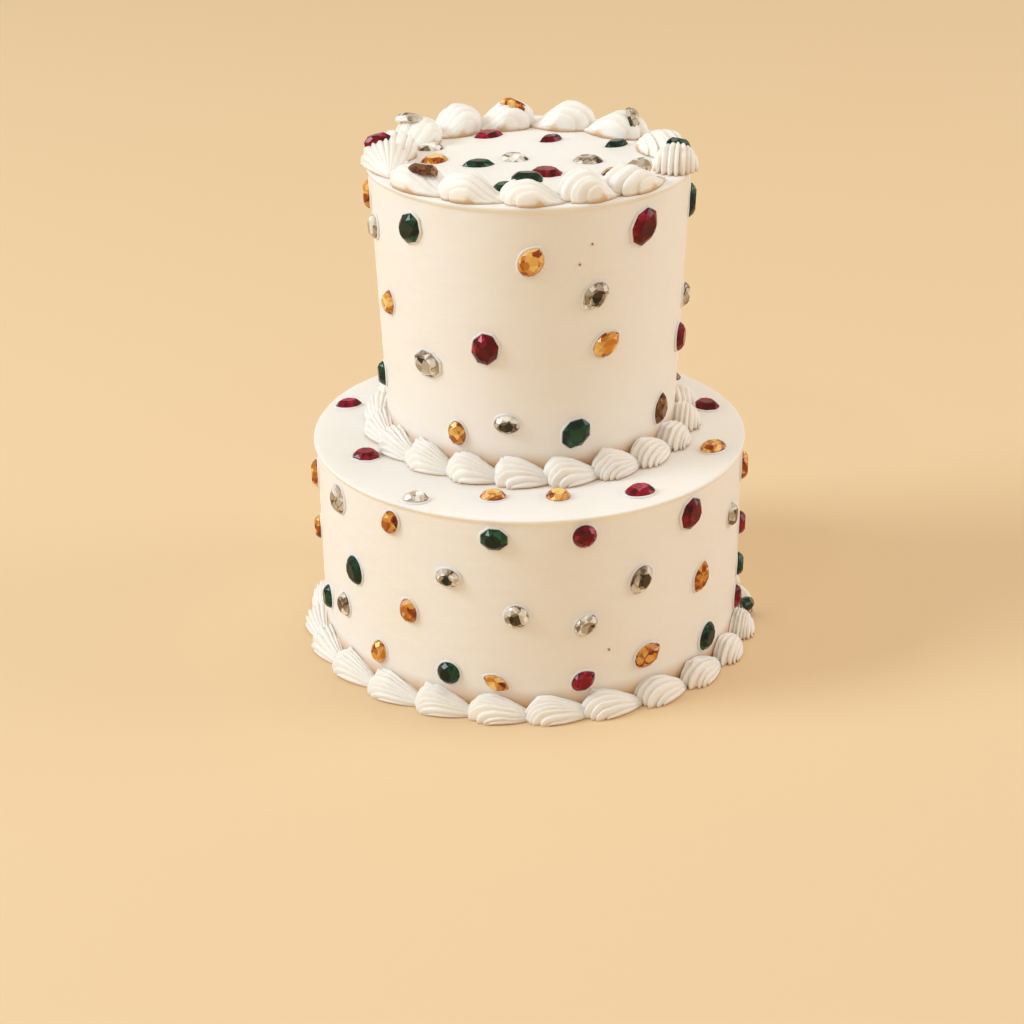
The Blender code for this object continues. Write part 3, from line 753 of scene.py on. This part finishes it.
def shell_grid(length, width, height, chance):
    """A scallop as rows from tail to head and columns from one side to the other, with its tail at +X.

    Along a column the surface climbs to the crown as one less a power, then goes over the head as an
    arc that ends a little under itself. The column's place across the shell is an angle: its cosine
    times the spread, a power of a sine, gives the side, and its sine gives the height. The ridges
    scale both, and every column ends on the head's half circle, a seeded bit before or past it.
    """
    ridges = int(chance.integers(FEWEST_RIDGES, MOST_RIDGES + 1))
    columns = ridges * COLUMNS_A_RIDGE + 1
    climb = np.linspace(0, 1, CLIMB_ROWS + 1)[1:]
    over = np.linspace(0, 1, SHELL_ROWS - CLIMB_ROWS + 1)[1:] * math.radians(90 + HEAD_TUCK)
    sunk = math.sin(math.radians(HEAD_TUCK))
    middle = sunk / (1 + sunk)
    head_reach = SHELL_CROWN + (1 - SHELL_CROWN) * np.sin(over)
    head_rise = middle + (1 - middle) * np.cos(over)
    reach = np.concatenate([SHELL_CROWN * climb, head_reach])[:, None]
    rise = np.concatenate([1 - (1 - climb) ** SHELL_CLIMB, head_rise])[:, None]
    path = np.linspace(0, 1, SHELL_ROWS)[:, None]

    share = np.linspace(0, 1, columns)[None, :]
    tuck = math.radians(SIDE_TUCK)
    lean = share * (math.pi + 2 * tuck) - tuck
    across = -np.cos(lean)
    arc = np.maximum(np.sin(lean), 0)
    stand = (np.sin(lean) + math.sin(tuck)) / (1 + math.sin(tuck))

    twist = chance.uniform(-1, 1) * SHELL_TWIST * (1 - path) * np.sin(share * math.pi)
    number = uneven_ridges(share + twist, ridges, chance)
    crest = fluting(number, SHELL_SHARPNESS)
    groove = SHELL_GROOVE * np.minimum(1, reach / GROOVE_FULL) * (1 - crest)
    swell = 1 - groove
    spread = np.sin(np.minimum(reach, 1) * math.pi / 2) ** SHELL_FULLNESS
    far = length - width / 2 * (1 - arc)
    x = length / 2 - far * reach * (1 - groove * np.maximum(0, reach - 0.5))
    y = across * width / 2 * spread * swell
    z = height * rise * stand * swell

    whole = np.minimum(number.astype(int), ridges - 1)
    nub_sizes = chance.uniform(0.0, 1.0, ridges)[whole] * crest**2 * arc**2
    nub_places = NUB_PLACE + chance.uniform(-1, 1, ridges)[whole] * NUB_LENGTH
    nub = np.exp(-(((path - nub_places) / NUB_LENGTH) ** 2)) * nub_sizes * NUB_HEIGHT
    ragged = chance.uniform(*RAGGED_RANGE, ridges)[whole] * crest * RAGGED_HEAD
    ragged = ragged * np.maximum(0, reach - RAGGED_FROM)
    x = x - (nub * NUB_LEAN + ragged) * height
    z = z + nub * height
    # Painted shade: tan in the grooves, and up to a height at the foot, less on the crests
    shade = (1 - crest) ** 2 * SHELL_PAINTED_SHADE * np.minimum(1, reach / SHELL_PAINTED_SHADE_FULL)
    foot_shade = np.clip(1 - z / SHELL_FOOT_PAINTED_SHADE, 0, 1) * (1 - SHELL_CREST_UNSHADED * crest)
    shade = np.maximum(shade, foot_shade)
    return np.stack([x, y, z], axis=-1), shade


def shell_faces(rows, columns):
    """The faces of a shell's grid, a fan to the tail's point, and one flat face underneath."""
    tail = rows * columns
    number = np.arange(tail).reshape(rows, columns)
    rim = np.concatenate([number[:, 0], number[-1, 1:], number[-2::-1, -1]])
    first = number[0]
    tip = np.stack([np.full(columns - 1, tail), first[1:], first[:-1]], axis=-1)
    under = [[tail, *rim.tolist()]]
    return [grid_faces(rows, columns), tip, under]


def bend_round(points, centre, radius, angle, lift):
    """Wraps a shell round a ring, with its tail towards growing angles and its middle at one angle."""
    turn = math.radians(angle) + points[..., 0] / radius
    out = radius - points[..., 1]
    bent = np.stack([np.sin(turn) * out, -np.cos(turn) * out, points[..., 2] + lift], axis=-1)
    return bent + np.array(centre)


def uneven_piping(points, seed):
    """Points moved up and down a little, as hand piping is never even, except at its foot."""
    dents = DENT_DEPTH * ripple(points, DENT_LENGTH, seed)
    dents += TEAR_DEPTH * ripple(points, TEAR_LENGTH, seed + TEAR_SEED)
    dents *= np.clip(points[:, 2] / EVEN_PIPED_FOOT, 0, 1)
    return points + np.stack([0 * dents, 0 * dents, dents], axis=-1)


def make_border(name, border, centre, lift, finish, node):
    """A ring of scallop shells, each with its head on the tail of the one before."""
    chance = np.random.default_rng(border.seed)
    shells = Surfaces()
    for number in range(border.count):
        angle = border.first + 360 / border.count * number + chance.uniform(-1, 1) * UNEVEN_ANGLE
        sizes = np.array([border.length, border.width, border.height])
        sizes = sizes * (1 + chance.uniform(-1, 1, 3) * UNEVEN_SIZE)
        points, shade = shell_grid(*sizes, chance)
        rows, columns = shade.shape
        tail = np.array([[sizes[0] / 2, 0, 0]])
        flat = uneven_piping(np.concatenate([points.reshape(-1, 3), tail]), border.seed + number)
        placed = bend_round(flat, centre, border.radius, angle, lift)
        # The shell's painted shade goes with its points, and a set painted shade with the tail's point
        shells.add(placed, shell_faces(rows, columns), groove=np.append(shade.ravel(), END_PAINTED_SHADE))
    return shells.piece(name, finish, [node])


def swirl_grid(length, width, height, ridges, depth, chance):
    """A swirled teardrop as arches that shrink to an eye low on each side, with its tail at +X.

    Seen from the side the middle arch climbs from the tail as half a cosine to the crest, then goes
    round the head as an arc that ends a little under itself. From eye to eye the arches grow and
    shrink again, as sine and cosine of one sweep, and the ridges, with finer ones between, scale
    them about the eyes.
    """
    crest_x = length * (SWIRL_CREST - 0.5)
    eye_x, eye_z = length * (SWIRL_EYE[0] - 0.5), height * SWIRL_EYE[1]
    fall = np.linspace(1, 0, SWIRL_ROWS // 2 + 1)[:-1]
    end = math.radians(90 + HEAD_TUCK)
    over = np.linspace(0, end, SWIRL_ROWS - len(fall))
    middle = -math.cos(end) / (1 - math.cos(end))
    tail_x = crest_x + fall * (length / 2 - crest_x)
    tail_z = (1 + np.cos(math.pi * fall**SWIRL_SAG)) / 2
    side_x = np.concatenate([tail_x, crest_x - np.sin(over) * length * SWIRL_CREST])
    side_z = np.concatenate([tail_z, middle + (1 - middle) * np.cos(over)])
    tailward = np.concatenate([fall, 0 * over])[None, :] ** TAIL_POWER

    share = np.linspace(0, 1, ridges * COLUMNS_A_RIDGE + 3)[1:-1][:, None]
    sweep = math.pi * share
    number = uneven_ridges(share, ridges, chance)
    crest = (1 - FINE_RIDGES) * fluting(number) + FINE_RIDGES * fluting(2 * number)
    relief = depth * (1 - TAIL_CALM * tailward) * (crest - LEVEL_CREST)
    size = np.sin(sweep) ** SWIRL_FULLNESS * (1 + relief)
    x = eye_x + (side_x[None, :] - eye_x) * size
    y = -np.cos(sweep) * width / 2 * (1 - SWIRL_NARROWING * tailward * size)
    z = eye_z + (side_z[None, :] * height - eye_z) * size
    z[:, [0, -1]] = 0
    z = np.maximum(z, 0)
    # Painted shade: tan in the grooves between the ridges, and up to a height at the foot
    shade = (1 - crest) ** 2 * SWIRL_PAINTED_SHADE + 0 * x
    shade = np.maximum(shade, np.clip(1 - z / SWIRL_FOOT_PAINTED_SHADE, 0, 1) * SWIRL_FOOT_SHARE)
    eyes = np.array([[eye_x, side * width / 2, eye_z] for side in (-1, 1)])
    return np.stack([x, y, z], axis=-1), shade, eyes


def swirl_faces(rows, columns):
    """Arches joined to their neighbours and closed underneath, with a fan to each eye."""
    count = rows * columns
    number = np.arange(columns)
    return [
        grid_faces(rows, columns, ring=True),
        fan_faces(count, number[::-1]),
        fan_faces(count + 1, number + count - columns),
    ]


def rim_place(angle, out=0):
    """A point of the oval along which the rim shells stand, or some millimetres out of it."""
    across, along = RIM_OVAL
    way = direction(angle)
    return TOP_CENTRE + Vector((way.x * across, way.y * along + RIM_OVAL_BACK, 0)) + way * out * MM


def make_rim(finish):
    """The shells on the top face, each along the oval and as long as its neighbours leave room for."""
    chance = np.random.default_rng(SWIRL_SEED)
    tilt = top_tilt()
    swirls = Surfaces()
    for number, shell in enumerate(RIM_SHELLS):
        after = RIM_SHELLS[(number + 1) % len(RIM_SHELLS)].angle
        before = RIM_SHELLS[number - 1].angle
        length = (rim_place(after) - rim_place(before)).length / 2 * SWIRL_OVERLAP
        heading = rim_place(shell.angle + 1) - rim_place(shell.angle - 1)
        width = SWIRL_WIDTH * (1 + chance.uniform(-1, 1) * UNEVEN_SIZE)
        height = shell.height * SWIRL_RISE * MM
        if shell.fanned:
            points, shade = shell_grid(length, width, height, chance)
            ends, faces = np.array([[length / 2, 0, 0]]), shell_faces(*shade.shape)
        else:
            points, shade, ends = swirl_grid(length, width, height, shell.ridges, shell.groove, chance)
            faces = swirl_faces(*shade.shape)
        flat = uneven_piping(np.concatenate([points.reshape(-1, 3), ends]), SWIRL_SEED + number)
        spot = rim_place(shell.angle, shell.out)
        stand = Matrix.Translation((spot.x, spot.y, TOP_OF_CAKE))
        turn = Matrix.Rotation(math.atan2(heading.y, heading.x), 4, "Z")
        placed = moved(flat, tilt @ stand @ turn)
        # The swirl's painted shade goes with its points, and a set painted shade with each eye or tail
        # point
        swirls.add(placed, faces, groove=np.append(shade.ravel(), [END_PAINTED_SHADE] * len(ends)))
    return swirls.piece("rim_swirls", finish, ["rim_border"])


# Stones


def outline(cut, turn):
    """A cut's outline at each turn, reaching from -1 to 1 both ways.

    An ellipse, whose across value is raised to a power where it has a point, or divided by the
    largest of its own measures where it is an octagon.
    """
    along, across = np.cos(turn), np.sin(turn)
    if cut == "octagon":
        bulge = np.maximum(np.abs(along), np.abs(across))
        bulge = np.maximum(bulge, OCTAGON_CORNER * (np.abs(along) + np.abs(across)))
        return np.stack([along / bulge, across / bulge], axis=-1)
    pointed = np.sign(across) * np.abs(across) ** POINT_SHARPNESS
    sharp = (cut == "marquise") | ((cut == "pear") & (along > 0))
    return np.stack([along, np.where(sharp, pointed, across)], axis=-1)


def stone_size(stone):
    width, length = CUT_SIZES[stone.cut]
    return np.array([length, width]) * SCALES[stone.scale] * MM


def stone_rings(stone):
    """Corners of a cut stone in four rings, foot, girdle, break and table, with its length along X."""
    half_step = math.pi / TABLE_CORNERS
    start = half_step if stone.cut == "octagon" else 0
    many = np.arange(2 * TABLE_CORNERS) * half_step + start
    few = many[::2]
    rings = []
    for turns, (share, height) in (
        (many, STONE_FOOT),
        (many, STONE_GIRDLE),
        (few + half_step, STONE_BREAK),
        (few, STONE_TABLE),
    ):
        plan = outline(stone.cut, turns) * share * stone_size(stone) / 2
        rings.append(np.column_stack([plan, np.full(len(turns), height * MM)]))
    return np.concatenate(rings)


def stone_faces():
    """Facets of a stone: side, girdle, kite and star facets, the table, and the flat back."""
    few = TABLE_CORNERS
    many = 2 * few
    step = np.arange(few)
    edge = np.arange(many)
    girdle = many
    broken = 2 * many
    table = broken + few
    after = (2 * step + 2) % many
    return [
        np.stack([edge, (edge + 1) % many, girdle + (edge + 1) % many, girdle + edge], axis=-1),
        np.stack([girdle + 2 * step, girdle + 2 * step + 1, broken + step], axis=-1),
        np.stack([girdle + 2 * step + 1, girdle + after, broken + step], axis=-1),
        np.stack([girdle + 2 * step, broken + step, table + step, broken + (step - 1) % few], axis=-1),
        np.stack([broken + step, table + (step + 1) % few, table + step], axis=-1),
        [(table + step).tolist()],
        [edge[::-1].tolist()],
    ]


def frame_matrix(place, right, up, turn):
    """A stone's place: its length along right, turned towards up, and its table away from both."""
    out = right.cross(up).normalized()
    swing = math.radians(turn)
    along = (right * math.cos(swing) + up * math.sin(swing)).normalized()
    across = out.cross(along)
    rotation = Matrix((along, across, out)).transposed().to_4x4()
    return Matrix.Translation(place) @ rotation


def wall_frame(stone, rim, foot, height, centre, bottom):
    """The place of a stone on a tier's wall, which narrows towards its foot."""
    wall = rim - LIP_PROUD
    slope = (wall - foot) / (height - LIP_DEPTH)
    radius = foot + slope * stone.reach * MM
    way = direction(stone.angle)
    up = (way * slope + Vector((0, 0, 1))).normalized()
    place = centre + way * radius + Vector((0, 0, bottom + stone.reach * MM))
    return frame_matrix(place, tangent(stone.angle), up, stone.turn)


def level_frame(stone, centre, bottom):
    place = centre + direction(stone.angle) * stone.reach * MM + Vector((0, 0, bottom))
    return frame_matrix(place, Vector((1, 0, 0)), Vector((0, 1, 0)), stone.turn)


def shell_frame(stone, centre, bottom):
    """The place of a stone in the piping: upright, then leaned towards an angle round the cake."""
    place = centre + Vector((stone.east, stone.north, stone.rise)) * MM + Vector((0, 0, bottom))
    level = frame_matrix(Vector(), Vector((1, 0, 0)), Vector((0, 1, 0)), stone.turn)
    lean = Matrix.Rotation(math.radians(stone.lean), 4, tangent(stone.towards))
    return Matrix.Translation(place) @ lean @ level


def far_side(stones):
    """The stones near the front again, half a turn round and in other colours."""
    return [
        stone._replace(angle=stone.angle + 180, colour=FAR_COLOURS[stone.colour])
        for stone in stones
        if abs(stone.angle) < NEAR_SIDE
    ]


BOTTOM_TIER = (BOTTOM_RIM, BOTTOM_FOOT, BOTTOM_HEIGHT, Vector(), 0)
TOP_TIER = (TOP_RIM, TOP_FOOT, TOP_HEIGHT, TOP_CENTRE, BOTTOM_HEIGHT)


def all_stones():
    """Every stone with its place, and whether it is pressed into smooth icing."""
    tilt = top_tilt()
    found = []
    for stone in TOP_FACE:
        found.append((stone, tilt @ level_frame(stone, TOP_CENTRE, TOP_OF_CAKE - TOP_PRESS), True))
    for stone in RIM_STONES:
        found.append((stone, tilt @ shell_frame(stone, TOP_CENTRE, TOP_OF_CAKE - TOP_PRESS), False))
    for stone in TOP_WALL + far_side(TOP_WALL):
        found.append((stone, wall_frame(stone, *TOP_TIER), True))
    for stone in LEDGE:
        found.append((stone, level_frame(stone, Vector(), BOTTOM_HEIGHT), True))
    for stone in BOTTOM_WALL + far_side(BOTTOM_WALL):
        found.append((stone, wall_frame(stone, *BOTTOM_TIER), True))
    for stone in BASE_STONES:
        found.append((stone, shell_frame(stone, Vector(), 0), False))
    return found


def make_stones(nodes):
    """One piece for each colour. A facet's tone is a seeded number, raised by painted light on a table
    that faces up.
    """
    chance = np.random.default_rng(STONE_SEED)
    faces = stone_faces()
    for colour in STONE_COLOURS:
        stones = Surfaces()
        for stone, matrix, _ in all_stones():
            if stone.colour != colour:
                continue
            lowest, highest, rim_lowest, rim_highest = FACET_TONES[colour]
            tones = chance.uniform(rim_lowest, rim_highest, sum(len(part) for part in faces))
            # Painted light: the table's tone is raised as far as it faces up
            skyward = max(0, matrix[2][2]) * SKYWARD_PAINTED_LIGHT
            tones[-2] = chance.uniform(lowest, highest) + skyward
            stones.add(moved(stone_rings(stone), matrix), faces, tone=tones)
        names = [name for name in nodes if f"_{colour}_" in name]
        stones.piece(f"{colour}_stones", stone_finish(colour), names, smooth=False)


def make_collars(finish):
    """Rolled edges of icing: a flattened round carried along each stone's outline."""
    turn = np.linspace(0, math.tau, COLLAR_STEPS, endpoint=False)
    round_turn = np.linspace(0, math.tau, COLLAR_SIDES, endpoint=False)[None, :]
    total = COLLAR_STEPS * COLLAR_SIDES
    faces = grid_faces(COLLAR_STEPS + 1, COLLAR_SIDES, ring=True) % total
    collars = Surfaces()
    for number, (stone, matrix, pressed) in enumerate(all_stones()):
        if not pressed:
            continue
        path = outline(stone.cut, turn) * (stone_size(stone) / 2 + COLLAR_WIDTH / 3)
        along = np.roll(path, -1, axis=0) - np.roll(path, 1, axis=0)
        out = np.stack([along[:, 1], -along[:, 0]], axis=-1)
        out /= np.linalg.norm(out, axis=1, keepdims=True)
        uneven = ripple(np.column_stack([path, 0 * turn]), COLLAR_WAVE, COLLAR_SEED + number)
        thick = 1 + COLLAR_UNEVEN * uneven
        width = (COLLAR_WIDTH * thick)[:, None]
        height = (COLLAR_HEIGHT * thick)[:, None]
        x = path[:, :1] + out[:, :1] * np.cos(round_turn) * width
        y = path[:, 1:] + out[:, 1:] * np.cos(round_turn) * width
        z = np.sin(round_turn) * height
        ring = np.stack([x, y, z], axis=-1).reshape(-1, 3)
        collars.add(moved(ring, matrix), [faces], groove=np.zeros(total))
    return collars.piece("stone_collars", finish, [])


# Crumbs, floor, lights and camera


def make_crumbs():
    """Small rough lumps, each an uneven eight-cornered block half sunk in the wall."""
    chance = np.random.default_rng(CRUMB_SEED)
    corners = np.array([[x, y, z] for x in (-1, 1) for y in (-1, 1) for z in (-1, 1)])
    faces = [[[0, 1, 3, 2], [4, 6, 7, 5], [0, 4, 5, 1], [2, 3, 7, 6], [0, 2, 6, 4], [1, 5, 7, 3]]]
    crumbs = Surfaces()
    for places, tier in ((TOP_CRUMBS, TOP_TIER), (BOTTOM_CRUMBS, BOTTOM_TIER)):
        for angle, reach in places:
            spot = Stone("round", "small", "crumb", angle, reach, chance.uniform(0, 180))
            lump = corners * CRUMB_SIZE * chance.uniform(*CRUMB_UNEVEN, corners.shape)
            crumbs.add(moved(lump, wall_frame(spot, *tier)), faces)
    return crumbs.piece("crumbs", crumb_finish(), [])


def make_floor():
    """One large square, level with the cake's underside."""
    mesh = bpy.data.meshes.new("floor")
    corners = [(x * FLOOR_REACH, y * FLOOR_REACH, 0) for x, y in ((-1, -1), (1, -1), (1, 1), (-1, 1))]
    mesh.from_pydata(corners, [], [(0, 1, 2, 3)])
    mesh.materials.append(floor_finish())
    floor = bpy.data.objects.new("floor", mesh)
    bpy.context.scene.collection.objects.link(floor)


def make_lights():
    for lamp in LAMPS:
        data = bpy.data.lights.new(lamp.name, "AREA")
        data.shape = "DISK"
        data.size = lamp.size
        data.energy = lamp.power
        data.color = screen(lamp.colour)[:3]
        item = bpy.data.objects.new(lamp.name, data)
        item.location = lamp.place
        item.rotation_euler = (LIGHT_TARGET - item.location).to_track_quat("-Z", "Y").to_euler()
        bpy.context.scene.collection.objects.link(item)
    room = bpy.data.worlds.new("room")
    room.use_nodes = True
    sky = room.node_tree.nodes["Background"]
    sky.inputs["Color"].default_value = screen(ROOM_COLOUR)
    sky.inputs["Strength"].default_value = ROOM_STRENGTH
    bpy.context.scene.world = room


def make_camera():
    """A camera in front of the cake, raised to its elevation and aimed a little left of the axis."""
    rise = math.radians(CAMERA_ELEVATION)
    data = bpy.data.cameras.new("camera")
    data.lens = FOCAL_PIXELS / PICTURE_PIXELS * SENSOR_WIDTH
    data.sensor_width = SENSOR_WIDTH
    camera = bpy.data.objects.new("camera", data)
    away = Vector((0, -math.cos(rise), math.sin(rise)))
    camera.location = AIM + away * CAMERA_DISTANCE
    look = (-away).to_track_quat("-Z", "Y").to_matrix()
    roll = Matrix.Rotation(math.radians(CAMERA_ROLL), 3, "Z")
    camera.rotation_euler = (look @ roll).to_euler()
    bpy.context.scene.collection.objects.link(camera)
    bpy.context.scene.camera = camera


def main():
    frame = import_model()
    make_camera()

    icing = icing_finish("smooth_icing", IVORY, CREAM, 0.42, 0.8)
    piped = icing_finish("piped_icing", PIPED_IVORY, IVORY, 0.4, 0.0)
    make_tier("bottom_icing", *BOTTOM_TIER[:3], Vector(), icing, "bottom_tier", seed=11)
    top_stand = TOP_CENTRE + Vector((0, 0, BOTTOM_HEIGHT))
    make_tier("top_icing", *TOP_TIER[:3], top_stand, icing, "top_tier", TOP_SLOPE, seed=13)
    make_border("base_shells", BASE_SHELLS, Vector(), 0, piped, "base_border")
    make_border("middle_shells", MIDDLE_SHELLS, TOP_CENTRE, BOTTOM_HEIGHT + GAP, piped, "middle_border")
    make_rim(piped)
    make_stones(frame["nodes"])
    make_collars(icing)
    make_crumbs()

    make_floor()
    make_lights()
    bpy.context.scene.view_settings.view_transform = "Standard"


main()
